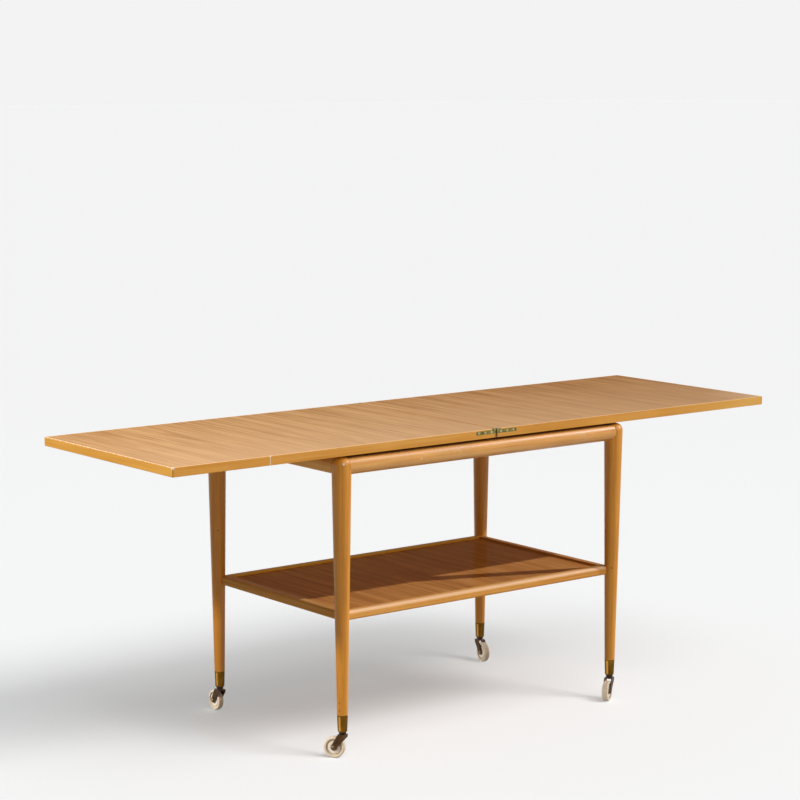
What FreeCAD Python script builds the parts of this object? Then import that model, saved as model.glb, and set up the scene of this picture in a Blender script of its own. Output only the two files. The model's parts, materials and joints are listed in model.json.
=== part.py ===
import FreeCAD, Part

import math
import os

import Sketcher
from FreeCAD import Placement, Rotation, Vector

# Tea trolley with a fold-over table top, in millimetres.
#
# Two leaves are hinged end to end by card-table hinges let into their long edges. The left leaf is
# screwed to two runners that slide in guides inside the frame. Open, the leaves make a long table.
# Folded, the right leaf lies on the left one and the pair slides to the middle of the frame.
#
# The origin is on the floor under the fold line: +X runs along the table to the right leaf, +Y to
# the back and +Z up. The frame's own middle is at X = frame_shift.

SIZES = {
    # table top
    "table_height": 604.5,
    "leaf_length": 750.0,
    "top_depth": 452.0,
    "leaf_thickness": 17.6,
    "seam_gap": 1.2,
    "seam_land": 8.0,
    "seam_relief": 0.6,
    "lipping": 3.0,
    "arris": 0.8,
    # card-table hinges
    "hinge_pin_spacing": 8.0,
    "hinge_pin_drop": 1.6,
    "hinge_pin_radius": 1.0,
    "knuckle_gap": 2.2,
    "knuckle_depth": 7.0,
    "knuckle_end": 8.8,
    "knuckle_drop": 0.1,
    "tab_end": 11.3,
    "strap_length": 52.0,
    "strap_height": 7.3,
    "strap_gauge": 2.2,
    "strap_drop": 2.2,
    "link_gauge": 2.4,
    "link_radius": 1.5,
    "link_depth": 2.6,
    "link_play": 0.2,
    "let_in_play": 0.05,
    "hinge_screw_first": 12.0,
    "hinge_screw_pitch": 16.35,
    "hinge_screw_radius": 1.4,
    "hinge_screw_head": 2.6,
    # frame of legs and upper rails
    "frame_shift": -19.0,
    "leg_inset_end": 27.35,
    "leg_inset_side": 16.0,
    "leg_radius": 19.0,
    "leg_foot_radius": 10.5,
    "leg_crown": 15.0,
    "frame_gap": 3.4,
    "rail_height": 35.0,
    "rail_depth": 26.0,
    "rail_outset": 17.4,
    "rail_round": 4.0,
    "tenon_radius": 6.0,
    "tenon_end": 7.0,
    "glue_gap": 0.05,
    # shelf
    "shelf_height": 284.5,
    "shelf_rail_height": 17.0,
    "shelf_rail_width": 19.0,
    "shelf_rail_outset": 1.0,
    "shelf_round": 6.5,
    "shelf_under_round": 3.0,
    "shelf_lip": 4.0,
    "panel_thickness": 9.0,
    "panel_groove": 6.0,
    "panel_play": 0.2,
    "shelf_tenon_radius": 3.2,
    "shelf_tenon_inset": 5.5,
    "shelf_tenon_low": 4.2,
    "shelf_tenon_high": 11.6,
    # sliding gear under the top
    "guide_width": 14.0,
    "guide_height": 29.0,
    "guide_play": 0.3,
    "guide_groove_depth": 5.0,
    "guide_groove_height": 8.0,
    "guide_groove_rise": 8.0,
    "runner_width": 22.0,
    "runner_height": 25.0,
    "runner_stop_gap": 0.4,
    "wood_screw_radius": 2.0,
    "wood_screw_head": 3.8,
    "screw_end_inset": 30.0,
    # casters
    "ferrule_top": 85.6,
    "ferrule_bottom": 52.4,
    "ferrule_low_radius": 9.3,
    "ferrule_wall": 0.8,
    "ferrule_base": 1.6,
    "ferrule_round": 1.5,
    "sleeve_length": 30.0,
    "sleeve_wall": 1.2,
    "stem_radius": 3.5,
    "running_play": 0.06,
    "collar_radius": 7.2,
    "collar_height": 2.6,
    "fork_top": 46.8,
    "fork_gauge": 1.8,
    "fork_half_length": 8.0,
    "fork_skirt": 6.0,
    "fork_end_radius": 5.5,
    "fork_bend": 1.2,
    "trail": 15.8,
    "wheel_radius": 21.0,
    "wheel_width": 12.2,
    "hub_width": 12.8,
    "hub_radius": 6.0,
    "web_width": 9.0,
    "tyre_inner_radius": 16.4,
    "disc_radius": 12.6,
    "groove_width": 6.4,
    "tread_round": 2.6,
    "wheel_play": 0.3,
    "axle_radius": 2.5,
    "axle_head_radius": 3.6,
    "axle_head": 1.4,
    # how far each caster is turned at rest, in degrees from +X
    "turn_front_left": 127.0,
    "turn_front_right": 211.0,
    "turn_back_left": 87.0,
    "turn_back_right": 258.0,
}

HINGE_SCREWS = 3
RUNNER_SCREWS = 3
GUIDE_SCREWS = 4
CUT_MARGIN = 5.0


class Size:
    """A driving size, or an expression of some: its text for the document and its value now."""

    def __init__(self, text, value):
        self.text = text
        self.value = float(value)

    def _join(self, sign, other, value):
        return Size("(%s %s %s)" % (self.text, sign, as_size(other).text), value)

    def __add__(self, other):
        return self._join("+", other, self.value + as_size(other).value)

    def __sub__(self, other):
        return self._join("-", other, self.value - as_size(other).value)

    def __mul__(self, other):
        return self._join("*", other, self.value * as_size(other).value)

    def __truediv__(self, other):
        return self._join("/", other, self.value / as_size(other).value)

    def __neg__(self):
        return Size("(0 - %s)" % self.text, -self.value)


def as_size(number):
    """A Size as it is, or a plain number as a Size."""
    return number if isinstance(number, Size) else Size("(%.6f)" % number, number)


def sine(angle):
    return Size("sin(%s)" % angle.text, math.sin(math.radians(angle.value)))


def cosine(angle):
    return Size("cos(%s)" % angle.text, math.cos(math.radians(angle.value)))


doc = FreeCAD.newDocument("tea_trolley")
sheet = doc.addObject("Spreadsheet::Sheet", "Sizes")
for row, (alias, number) in enumerate(SIZES.items(), start=1):
    sheet.set("A%d" % row, str(number))
    sheet.setAlias("A%d" % row, alias)
doc.recompute()


class Sheet:
    """The spreadsheet's cells by alias."""

    def __getattr__(self, alias):
        return Size("Sizes.%s" % alias, sheet.get(alias))


s = Sheet()
ZERO = as_size(0)
nodes = []


# ---------------------------------------------------------------- building blocks

def bind(item, prop, size):
    item.setExpression(prop, as_size(size).text)


def place(item, x=0, y=0, z=0, turn=None):
    """Put an object at x, y, z, turned by a rotation that is set before its place is bound."""
    if turn is not None:
        item.Placement = Placement(Vector(), turn)
    for axis, size in zip("xyz", (x, y, z)):
        bind(item, "Placement.Base.%s" % axis, size)
    return item


def node(item, label):
    """Name a finished piece of the trolley."""
    item.Label = label
    nodes.append(item)
    return item


def block(name, xs, ys, zs):
    """Box between two sizes on each axis."""
    item = doc.addObject("Part::Box", name)
    for prop, (low, high) in zip(("Length", "Width", "Height"), (xs, ys, zs)):
        bind(item, prop, as_size(high) - low)
    return place(item, xs[0], ys[0], zs[0])


TURN_TO = {
    "+X": Rotation(Vector(0, 1, 0), 90),
    "-X": Rotation(Vector(0, 1, 0), -90),
    "+Y": Rotation(Vector(1, 0, 0), -90),
    "-Y": Rotation(Vector(1, 0, 0), 90),
    "+Z": Rotation(),
}


def rod(name, radius, length, start, towards):
    """Cylinder from a point towards an axis direction."""
    item = doc.addObject("Part::Cylinder", name)
    bind(item, "Radius", radius)
    bind(item, "Height", length)
    return place(item, *start, turn=TURN_TO[towards])


def countersink(name, head, shank, play, start, towards):
    """Cone for a screw head that ends flush with the face at start, a shade larger all round."""
    item = doc.addObject("Part::Cone", name)
    bind(item, "Radius1", head + play * 2)
    bind(item, "Radius2", shank + play)
    bind(item, "Height", head - shank + play)
    outward = TURN_TO[towards].multVec(Vector(0, 0, -1))
    shifted = [as_size(at) + play * way for at, way in zip(start, outward)]
    return place(item, *shifted, turn=TURN_TO[towards])


def cut(name, base, *tools):
    item = doc.addObject("Part::Cut", name)
    item.Base = base
    item.Tool = tools[0] if len(tools) == 1 else join(name + "_tools", *tools)
    return item


def join(name, *pieces):
    item = doc.addObject("Part::MultiFuse", name)
    item.Shapes = list(pieces)
    return item


def common(name, *pieces):
    item = doc.addObject("Part::MultiCommon", name)
    item.Shapes = list(pieces)
    return item


def group(name, *pieces):
    """Separate solids kept together as one sub-part."""
    item = doc.addObject("Part::Compound", name)
    item.Links = list(pieces)
    return item


def mirrored(source, name, normal, x=0):
    """The same piece on the other side of a plane through x."""
    item = doc.addObject("Part::Mirroring", name)
    item.Source = source
    item.Normal = normal
    bind(item, "Base.x", x)
    return item


ACROSS_X = Vector(1, 0, 0)
ACROSS_Y = Vector(0, 1, 0)


def tangent_points(here, there):
    """Ends of the line that touches two round corners, both on its left."""
    (x1, y1, r1), (x2, y2, r2) = [[v.value for v in corner] for corner in (here, there)]
    reach = math.hypot(x2 - x1, y2 - y1)
    heading = math.atan2(y2 - y1, x2 - x1) - math.asin((r2 - r1) / reach)
    left = Vector(-math.sin(heading), math.cos(heading), 0)
    return Vector(x1, y1, 0) - left * r1, Vector(x2, y2, 0) - left * r2


def sketch_outline(body, plane, corners):
    """Closed anticlockwise sketch. A corner is (x, y), or (x, y, radius) for an arc by its centre."""
    sketch = body.newObject("Sketcher::SketchObject", body.Name + "_outline")
    planes = {feature.Role: feature for feature in body.Origin.OriginFeatures}
    sketch.AttachmentSupport = [(planes[plane + "_Plane"], "")]
    sketch.MapMode = "FlatFace"
    corners = [tuple(as_size(v) for v in corner) + (ZERO,) * (3 - len(corner)) for corner in corners]
    sides = [tangent_points(corner, corners[(i + 1) % len(corners)]) for i, corner in enumerate(corners)]
    lines = [sketch.addGeometry(Part.LineSegment(a, b), False) for a, b in sides]

    def hold(kind, size, *where):
        index = sketch.addConstraint(Sketcher.Constraint(kind, *where, size.value))
        sketch.setExpression("Constraints[%d]" % index, size.text)

    for i, (x, y, radius) in enumerate(corners):
        before, after = lines[i - 1], lines[i]
        if radius.value == 0:
            sketch.addConstraint(Sketcher.Constraint("Coincident", before, 2, after, 1))
            hold("DistanceX", x, -1, 1, after, 1)
            hold("DistanceY", y, -1, 1, after, 1)
            continue
        centre = Vector(x.value, y.value, 0)
        start = sides[i - 1][1] - centre
        end = sides[i][0] - centre
        circle = Part.Circle(centre, Vector(0, 0, 1), radius.value)
        first = math.atan2(start.y, start.x)
        last = math.atan2(end.y, end.x)
        last += 2 * math.pi if last <= first else 0
        arc = sketch.addGeometry(Part.ArcOfCircle(circle, first, last), False)
        sketch.addConstraint(Sketcher.Constraint("Tangent", before, 2, arc, 1))
        sketch.addConstraint(Sketcher.Constraint("Tangent", arc, 2, after, 1))
        hold("DistanceX", x, -1, 1, arc, 3)
        hold("DistanceY", y, -1, 1, arc, 3)
        hold("Radius", radius, arc)
    return sketch


def prism(name, plane, corners, length):
    """Outline padded to both sides of its plane."""
    body = doc.addObject("PartDesign::Body", name)
    pad = body.newObject("PartDesign::Pad", name + "_pad")
    pad.Profile = sketch_outline(body, plane, corners)
    pad.SideType = "Symmetric"
    bind(pad, "Length", length)
    return body


def lathe(name, corners):
    """Outline of radius and height turned about the Z axis."""
    body = doc.addObject("PartDesign::Body", name)
    turning = body.newObject("PartDesign::Revolution", name + "_turning")
    sketch = sketch_outline(body, "XZ", corners)
    turning.Profile = sketch
    turning.ReferenceAxis = (sketch, ["V_Axis"])
    turning.Angle = 360
    return body


def softened(name, source, radius, picks):
    """Round the straight edges that picks accepts, by their middle point."""
    doc.recompute()
    item = doc.addObject("Part::Fillet", name)
    item.Base = source
    chosen = [i for i, edge in enumerate(source.Shape.Edges, start=1) if picks(edge)]
    item.Edges = [(i, radius.value, radius.value) for i in chosen]
    return item


# ---------------------------------------------------------------- shared levels and places

top_underside = s.table_height - s.leaf_thickness
rail_top = top_underside - s.frame_gap
rail_middle = rail_top - s.rail_height / 2
shelf_bottom = s.shelf_height - s.shelf_rail_height
panel_top = s.shelf_height - s.shelf_lip
half_span = s.leaf_length / 2 - s.leg_inset_end
half_reach = s.top_depth / 2 - s.leg_inset_side
ferrule_seat = s.ferrule_bottom + s.ferrule_base
sleeve_bore = s.stem_radius + s.running_play
sleeve_radius = sleeve_bore + s.sleeve_wall
pin_height = s.table_height - s.hinge_pin_drop

SIDES = {"left": -1, "right": 1}
ENDS = {"front": -1, "back": 1}


# ---------------------------------------------------------------- legs

def leg_corners(grown):
    """Half outline of a leg: crowned top, long taper and the spigot inside the ferrule."""
    crown_centre = s.leg_radius - s.leg_crown
    spigot_top = s.leg_foot_radius - s.ferrule_wall - s.glue_gap + grown
    spigot_low = s.ferrule_low_radius - s.ferrule_wall - s.glue_gap + grown
    return [
        (ZERO, ferrule_seat + s.glue_gap),
        (spigot_low, ferrule_seat + s.glue_gap),
        (spigot_top, s.ferrule_top),
        (s.leg_foot_radius + grown, s.ferrule_top),
        (crown_centre, rail_top - s.leg_crown, s.leg_crown + grown),
        (ZERO, rail_top + grown),
    ]


def make_leg(side, end):
    name = "leg_%s_%s" % (end, side)
    sx, sy = SIDES[side], ENDS[end]
    inward_x = "-X" if sx > 0 else "+X"
    inward_y = "-Y" if sy > 0 else "+Y"
    bore = s.tenon_radius + s.glue_gap
    bore_length = s.leg_radius - s.tenon_end + CUT_MARGIN
    bore_start = s.tenon_end - s.glue_gap
    shelf_bore = s.shelf_tenon_radius + s.glue_gap
    shelf_bore_length = s.leg_radius + s.shelf_tenon_radius
    low = shelf_bottom + s.shelf_tenon_low
    high = shelf_bottom + s.shelf_tenon_high
    tools = [
        rod(name + "_long_bore", bore, bore_length, (bore_start * -sx, ZERO, rail_middle), inward_x),
        rod(name + "_end_bore", bore, bore_length, (ZERO, bore_start * -sy, rail_middle), inward_y),
        rod(name + "_low_bore", shelf_bore, shelf_bore_length,
            (ZERO, s.shelf_tenon_inset * -sy, low), inward_x),
        rod(name + "_high_bore", shelf_bore, shelf_bore_length,
            (s.shelf_tenon_inset * -sx, ZERO, high), inward_y),
        rod(name + "_caster_bore", sleeve_radius + s.glue_gap, s.sleeve_length + CUT_MARGIN,
            (ZERO, ZERO, ferrule_seat), "+Z"),
    ]
    leg = cut(name, lathe(name + "_turned", leg_corners(ZERO)), *tools)
    place(leg, s.frame_shift + half_span * sx, half_reach * sy)
    return node(leg, name)


def scribe_tool(name, x, y):
    """The leg's own form, a glue line larger, that a rail's end is scribed to."""
    return place(lathe(name, leg_corners(s.glue_gap)), x, y)


# ---------------------------------------------------------------- upper rails

def make_upper_rail(name, span, reach, turn):
    """Round-nosed rail along X with its nose at -Y, scribed and tenoned into both legs.

    The bar stops a glue line short of its neighbour's inner face, over the crowns of the legs.
    """
    nose = s.rail_height / 2
    outer = reach + s.rail_outset
    inner = outer - s.rail_depth
    section = [
        (-outer + nose, rail_middle, nose),
        (-inner - s.rail_round, rail_top - s.rail_height + s.rail_round, s.rail_round),
        (-inner - s.rail_round, rail_top - s.rail_round, s.rail_round),
    ]
    half_bar = span - (s.rail_depth - s.rail_outset) - s.glue_gap
    bar = prism(name + "_bar", "YZ", section, half_bar * 2)
    legs = [scribe_tool("%s_scribe_%s" % (name, side), span * sx, -reach) for side, sx in SIDES.items()]
    tenon_length = s.leg_radius - s.tenon_end + s.rail_round
    tenons = [
        rod("%s_tenon_%s" % (name, side), s.tenon_radius, tenon_length,
            ((span - s.tenon_end) * sx, -reach, rail_middle), "-X" if sx > 0 else "+X")
        for side, sx in SIDES.items()
    ]
    rail = join(name, cut(name + "_scribed", bar, *legs), *tenons)
    return node(place(rail, s.frame_shift, turn=turn), name)


# ---------------------------------------------------------------- shelf

def make_shelf_rail(name, span, reach, tenon_rise, turn):
    """Grooved shelf rail along X with a rounded outer edge, mitred to its neighbours at the legs."""
    outer = reach + s.shelf_rail_outset
    inner = outer - s.shelf_rail_width
    groove = inner + s.panel_groove
    groove_top = panel_top + s.glue_gap
    groove_bottom = panel_top - s.panel_thickness - s.glue_gap
    section = [
        (-outer + s.shelf_under_round, shelf_bottom + s.shelf_under_round, s.shelf_under_round),
        (-inner, shelf_bottom),
        (-inner, groove_bottom),
        (-groove, groove_bottom),
        (-groove, groove_top),
        (-inner, groove_top),
        (-inner, s.shelf_height),
        (-outer + s.shelf_round, s.shelf_height - s.shelf_round, s.shelf_round),
    ]
    long_side = span + s.shelf_rail_outset - s.glue_gap
    short_side = long_side - s.shelf_rail_width
    mitres = [(-long_side, -outer), (long_side, -outer), (short_side, -inner), (-short_side, -inner)]
    bar = prism(name + "_bar", "YZ", section, long_side * 2)
    plan = prism(name + "_mitres", "XY", mitres, s.shelf_height * 2 + CUT_MARGIN)
    legs = [scribe_tool("%s_scribe_%s" % (name, side), span * sx, -reach) for side, sx in SIDES.items()]
    blank = cut(name + "_scribed", common(name + "_mitred", bar, plan), *legs)
    tenon_y = -reach + s.shelf_tenon_inset
    tenon_end = span - s.glue_gap
    tenons = [
        rod("%s_tenon_%s" % (name, side), s.shelf_tenon_radius, s.leg_radius,
            (tenon_end * sx, tenon_y, shelf_bottom + tenon_rise), "-X" if sx > 0 else "+X")
        for side, sx in SIDES.items()
    ]
    rail = join(name, blank, *tenons)
    return node(place(rail, s.frame_shift, turn=turn), name)


def make_shelf_panel():
    inset = s.shelf_rail_width - s.shelf_rail_outset - s.panel_groove + s.panel_play
    x = half_span - inset
    y = half_reach - inset
    panel = block("shelf_panel", (-x, x), (-y, y), (panel_top - s.panel_thickness, panel_top))
    return node(place(panel, s.frame_shift - x, -y, panel_top - s.panel_thickness), "shelf_panel")


# ---------------------------------------------------------------- table leaves

near_seam = s.seam_gap / 2
leaf_end = s.leaf_length
half_depth = s.top_depth / 2
knuckle_top = s.table_height - s.knuckle_drop
strap_top = s.table_height - s.strap_drop
strap_low = strap_top - s.strap_height
pin_place = s.hinge_pin_spacing / 2


def hinge_screw_places():
    return [s.hinge_screw_first + s.hinge_screw_pitch * i for i in range(HINGE_SCREWS)]


def hinge_recess(name):
    """What is cut from a leaf's front edge for one hinge: strap, tab and knuckle, open to the top."""
    play = s.let_in_play
    front = -half_depth
    end_radius = s.strap_height / 2
    straight_end = s.strap_length - end_radius
    low, top = strap_low - play, strap_top + play
    shallow = (front - 1, front + s.strap_gauge + play)
    strap = block(name + "_strap", (ZERO, straight_end), shallow, (low, top))
    strap_end = rod(name + "_strap_end", end_radius + play, s.strap_gauge + play + 1,
                    (straight_end, front - 1, strap_low + end_radius), "+Y")
    tab = block(name + "_tab", (ZERO, s.tab_end + play), shallow, (low, s.table_height + 1))
    knuckle = block(name + "_knuckle", (ZERO, s.knuckle_end + play),
                    (front - 1, front + s.knuckle_depth + play), (low, s.table_height + 1))
    return join(name, strap, strap_end, tab, knuckle)


def outer_arris(edge):
    """True for a level edge of a strip on the outside of a leaf, away from the seam."""
    middle = edge.CenterOfMass
    low, high = edge.BoundBox.ZMin, edge.BoundBox.ZMax
    on_side = abs(abs(middle.y) - half_depth.value) < 0.01
    on_end = abs(middle.x - leaf_end.value) < 0.01
    return high - low < 0.01 and (on_side or on_end)


def make_right_leaf():
    """Veneered board and its four lippings, relieved at the seam below a narrow tight land."""
    zs = (top_underside, s.table_height)
    board_end = leaf_end - s.lipping
    board_side = half_depth - s.lipping
    board = block("right_board_blank", (near_seam + s.lipping, board_end), (-board_side, board_side), zs)
    strips = [
        block("lipping_front", (near_seam, leaf_end), (-half_depth, -board_side), zs),
        block("lipping_back", (near_seam, leaf_end), (board_side, half_depth), zs),
        block("lipping_seam", (near_seam, near_seam + s.lipping), (-board_side, board_side), zs),
        block("lipping_end", (board_end, leaf_end), (-board_side, board_side), zs),
    ]
    soft = [softened(strip.Name + "_soft", strip, s.arris, outer_arris) if strip.Name != "lipping_seam"
            else strip for strip in strips]
    front = hinge_recess("hinge_recess_front")
    back = mirrored(front, "hinge_recess_back", ACROSS_Y)
    relief = block("seam_relief_cut", (ZERO, near_seam + s.seam_relief), (-half_depth - 1, half_depth + 1),
                   (top_underside - 1, s.table_height - s.seam_land))
    recesses = join("hinge_recesses", front, back, relief)
    node(cut("right_leaf_board", board, recesses), "right_leaf_board")
    cut_strips = [cut(strip.Name + "_let_in", strip, recesses) for strip in soft]
    node(group("right_leaf_lipping", *cut_strips), "right_leaf_lipping")


def make_left_leaf():
    """The same leaf mirrored over the seam."""
    for piece in ("board", "lipping"):
        source = doc.getObject("right_leaf_" + piece)
        node(mirrored(source, "left_leaf_" + piece, ACROSS_X), "left_leaf_" + piece)


# ---------------------------------------------------------------- card-table hinges

def make_hinges():
    """Plates let flush into the long edges, and links on two pins that carry the right leaf over."""
    end_radius = s.strap_height / 2
    strap_middle = strap_low + end_radius
    front = -half_depth
    slot = s.link_gauge + s.link_play * 2
    slot_middle = front + s.knuckle_depth / 2

    near_end = s.knuckle_gap / 2
    knuckle = block("knuckle", (near_end, s.knuckle_end), (front, front + s.knuckle_depth),
                    (strap_low, knuckle_top))
    tab = block("knuckle_tab", (near_end, s.tab_end), (front, front + s.strap_gauge),
                (strap_low, knuckle_top))
    strap = prism("strap", "XZ", [
        (near_end, strap_low),
        (s.strap_length - end_radius, strap_middle, end_radius),
        (near_end, strap_top),
    ], s.strap_gauge)
    place(strap, ZERO, front + s.strap_gauge / 2)
    slot_low = pin_height - s.link_depth - s.link_radius - s.link_play
    slot_cut = block("link_slot", (ZERO, pin_place + s.link_radius + s.link_play * 2),
                     (slot_middle - slot / 2, slot_middle + slot / 2), (slot_low, s.table_height + 1))
    pin_hole = rod("pin_hole", s.hinge_pin_radius + s.running_play, s.knuckle_depth + 2,
                   (pin_place, front - 1, pin_height), "+Y")
    holes = []
    for i, x in enumerate(hinge_screw_places()):
        holes.append(rod("strap_hole_%d" % i, s.hinge_screw_radius + s.let_in_play, s.strap_gauge + 1,
                         (x, front, strap_middle), "+Y"))
        holes.append(countersink("strap_sink_%d" % i, s.hinge_screw_head, s.hinge_screw_radius,
                                 s.let_in_play, (x, front, strap_middle), "+Y"))
    blank = join("plate_blank", knuckle, tab, strap)
    plate = cut("hinge_plate_front_right", blank, slot_cut, pin_hole, *holes)
    node(plate, "hinge_plate_front_right")
    left = mirrored(plate, "hinge_plate_front_left", ACROSS_X)
    node(left, "hinge_plate_front_left")
    node(mirrored(plate, "hinge_plate_back_right", ACROSS_Y), "hinge_plate_back_right")
    node(mirrored(left, "hinge_plate_back_left", ACROSS_Y), "hinge_plate_back_left")

    link_foot = pin_place - s.link_radius
    link_blank = prism("link_blank", "XZ", [
        (link_foot, pin_height - s.link_depth, s.link_radius),
        (pin_place, pin_height, s.link_radius),
        (-pin_place, pin_height, s.link_radius),
        (-link_foot, pin_height - s.link_depth, s.link_radius),
    ], s.link_gauge)
    place(link_blank, ZERO, slot_middle)
    pin_length = s.knuckle_depth - s.let_in_play * 2
    for side, sx in SIDES.items():
        rod("pin_" + side, s.hinge_pin_radius, pin_length,
            (pin_place * sx, front + s.let_in_play, pin_height), "+Y")
        rod("link_hole_" + side, s.hinge_pin_radius, s.knuckle_depth,
            (pin_place * sx, front, pin_height), "+Y")
    link = cut("hinge_link_front", link_blank, doc.getObject("link_hole_left"),
               doc.getObject("link_hole_right"))
    node(link, "hinge_link_front")
    node(mirrored(link, "hinge_link_back", ACROSS_Y), "hinge_link_back")
    pins = group("hinge_pins_front", doc.getObject("pin_left"), doc.getObject("pin_right"))
    node(pins, "hinge_pins_front")
    node(mirrored(pins, "hinge_pins_back", ACROSS_Y), "hinge_pins_back")


# ---------------------------------------------------------------- sliding gear

rail_inner = half_reach - (s.rail_depth - s.rail_outset)
guide_outer = rail_inner - s.glue_gap
guide_face = guide_outer - s.guide_width
guide_top = top_underside - s.guide_play
guide_low = guide_top - s.guide_height
guide_screw_height = guide_top - (s.guide_height - s.guide_groove_rise - s.guide_groove_height) / 2
guide_half = half_span - s.leg_radius - s.panel_play

leaf_middle = (leaf_end + near_seam) / 2
slide_travel = leaf_middle + s.frame_shift
inner_half = half_span - (s.rail_depth - s.rail_outset)
runner_start = s.frame_shift - inner_half + s.runner_stop_gap
runner_length = inner_half * 2 - s.runner_stop_gap * 2 - slide_travel
runner_y = guide_face - s.guide_play - s.runner_width / 2


def guide_screw_places():
    """Places of a guide's screws along X, from the middle of the frame."""
    step = (guide_half - s.screw_end_inset) * 2 / (GUIDE_SCREWS - 1)
    return [s.screw_end_inset - guide_half + step * i for i in range(GUIDE_SCREWS)]


def make_guides():
    """Grooved guides inside the long rails; both leaves bear on their upper edges."""
    groove_low = guide_low + s.guide_groove_rise
    groove_top = groove_low + s.guide_groove_height
    groove_back = guide_face + s.guide_groove_depth
    section = [
        (-guide_outer, guide_low), (-guide_face, guide_low), (-guide_face, groove_low),
        (-groove_back, groove_low), (-groove_back, groove_top), (-guide_face, groove_top),
        (-guide_face, guide_top), (-guide_outer, guide_top),
    ]
    bar = place(prism("guide_bar", "YZ", section, guide_half * 2), s.frame_shift)
    holes = []
    for i, x in enumerate(guide_screw_places()):
        start = (s.frame_shift + x, -guide_face, guide_screw_height)
        holes.append(rod("guide_hole_%d" % i, s.wood_screw_radius + s.glue_gap, s.guide_width + 1,
                         start, "-Y"))
        holes.append(countersink("guide_sink_%d" % i, s.wood_screw_head, s.wood_screw_radius,
                                 s.glue_gap, start, "-Y"))
    guide = node(cut("slide_guide_front", bar, *holes), "slide_guide_front")
    node(mirrored(guide, "slide_guide_back", ACROSS_Y), "slide_guide_back")


def runner_screw_places():
    """Places of the runner's screws along X while the table is open."""
    step = (runner_length - s.screw_end_inset * 2) / (RUNNER_SCREWS - 1)
    return [runner_start + s.screw_end_inset + step * i for i in range(RUNNER_SCREWS)]


def make_runners():
    """Tongued runners screwed under the left leaf; the end rails stop them at both ends."""
    outer = runner_y + s.runner_width / 2
    inner = runner_y - s.runner_width / 2
    top = top_underside - s.glue_gap
    low = top_underside - s.runner_height
    tongue_tip = guide_face + s.guide_groove_depth - s.guide_play
    tongue_low = guide_low + s.guide_groove_rise + s.guide_play
    tongue_top = tongue_low + s.guide_groove_height - s.guide_play * 2
    section = [
        (-outer, low), (-inner, low), (-inner, top), (-outer, top),
        (-outer, tongue_top), (-tongue_tip, tongue_top), (-tongue_tip, tongue_low), (-outer, tongue_low),
    ]
    bar = prism("runner_bar", "YZ", section, runner_length)
    place(bar, runner_start + runner_length / 2)
    holes = []
    for i, x in enumerate(runner_screw_places()):
        start = (x, -runner_y, low)
        holes.append(rod("runner_hole_%d" % i, s.wood_screw_radius + s.glue_gap, s.runner_height + 1,
                         start, "+Z"))
        holes.append(countersink("runner_sink_%d" % i, s.wood_screw_head, s.wood_screw_radius,
                                 s.glue_gap, start, "+Z"))
    runner = node(cut("slide_runner_front", bar, *holes), "slide_runner_front")
    node(mirrored(runner, "slide_runner_back", ACROSS_Y), "slide_runner_back")


# ---------------------------------------------------------------- casters

crown_low = s.fork_top - s.fork_gauge
fork_inner = s.hub_width + s.wheel_play * 2
fork_outer = fork_inner + s.fork_gauge * 2


def ferrule_shape(name):
    """Tapered brass cup with a central sleeve for the caster's stem."""
    wall = s.ferrule_wall
    return lathe(name, [
        (sleeve_bore, s.ferrule_bottom),
        (s.ferrule_low_radius - s.ferrule_round, s.ferrule_bottom + s.ferrule_round, s.ferrule_round),
        (s.leg_foot_radius, s.ferrule_top),
        (s.leg_foot_radius - wall, s.ferrule_top),
        (s.ferrule_low_radius - wall, ferrule_seat),
        (sleeve_radius, ferrule_seat),
        (sleeve_radius, ferrule_seat + s.sleeve_length),
        (sleeve_bore, ferrule_seat + s.sleeve_length),
    ])


def stem_shape(name):
    """Pintle riveted through the fork's crown, with the collar that shows under the ferrule."""
    collar_top = s.ferrule_bottom - s.wheel_play
    collar_low = collar_top - s.collar_height
    waist = s.collar_radius - s.fork_gauge
    rivet_low = crown_low - s.fork_gauge
    pin_top = ferrule_seat + s.sleeve_length - s.fork_gauge
    return lathe(name, [
        (ZERO, rivet_low),
        (s.stem_radius, rivet_low),
        (s.stem_radius + s.fork_gauge / 2, crown_low),
        (s.stem_radius, crown_low),
        (s.stem_radius, s.fork_top),
        (waist, s.fork_top),
        (waist, collar_low - s.fork_gauge / 4),
        (s.collar_radius, collar_low),
        (s.collar_radius, collar_top - s.fork_gauge / 4),
        (s.collar_radius - s.fork_gauge / 4, collar_top),
        (s.stem_radius, collar_top),
        (s.stem_radius, pin_top - s.fork_gauge / 2),
        (s.stem_radius - s.fork_gauge / 2, pin_top),
        (ZERO, pin_top),
    ])


def fork_shape(name):
    """Stamped fork: a crown bent down into two arms that narrow to the axle."""
    sides = prism(name + "_sides", "XZ", [
        (-s.fork_half_length, s.fork_top - s.fork_skirt),
        (s.trail, s.wheel_radius, s.fork_end_radius),
        (s.fork_half_length, s.fork_top),
        (-s.fork_half_length, s.fork_top),
    ], fork_outer)
    shoulders = softened(name + "_bent", sides, s.fork_bend, crown_bend)
    reach = s.trail + s.wheel_radius
    inside = block(name + "_inside", (-reach, reach), (-fork_inner / 2, fork_inner / 2), (ZERO, crown_low))
    stem_hole = rod(name + "_stem_hole", s.stem_radius + s.running_play, s.fork_gauge * 2 + 2,
                    (ZERO, ZERO, crown_low - 1), "+Z")
    axle_hole = rod(name + "_axle_hole", s.axle_radius + s.running_play, fork_outer + 2,
                    (s.trail, -fork_outer / 2 - 1, s.wheel_radius), "+Y")
    return cut(name, shoulders, inside, stem_hole, axle_hole)


def crown_bend(edge):
    """True for the two long top edges of the fork, where the sheet is bent down."""
    middle = edge.CenterOfMass
    return (abs(abs(middle.y) - fork_outer.value / 2) < 0.01
            and abs(middle.z - s.fork_top.value) < 0.01
            and edge.Length > s.fork_half_length.value)


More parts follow.
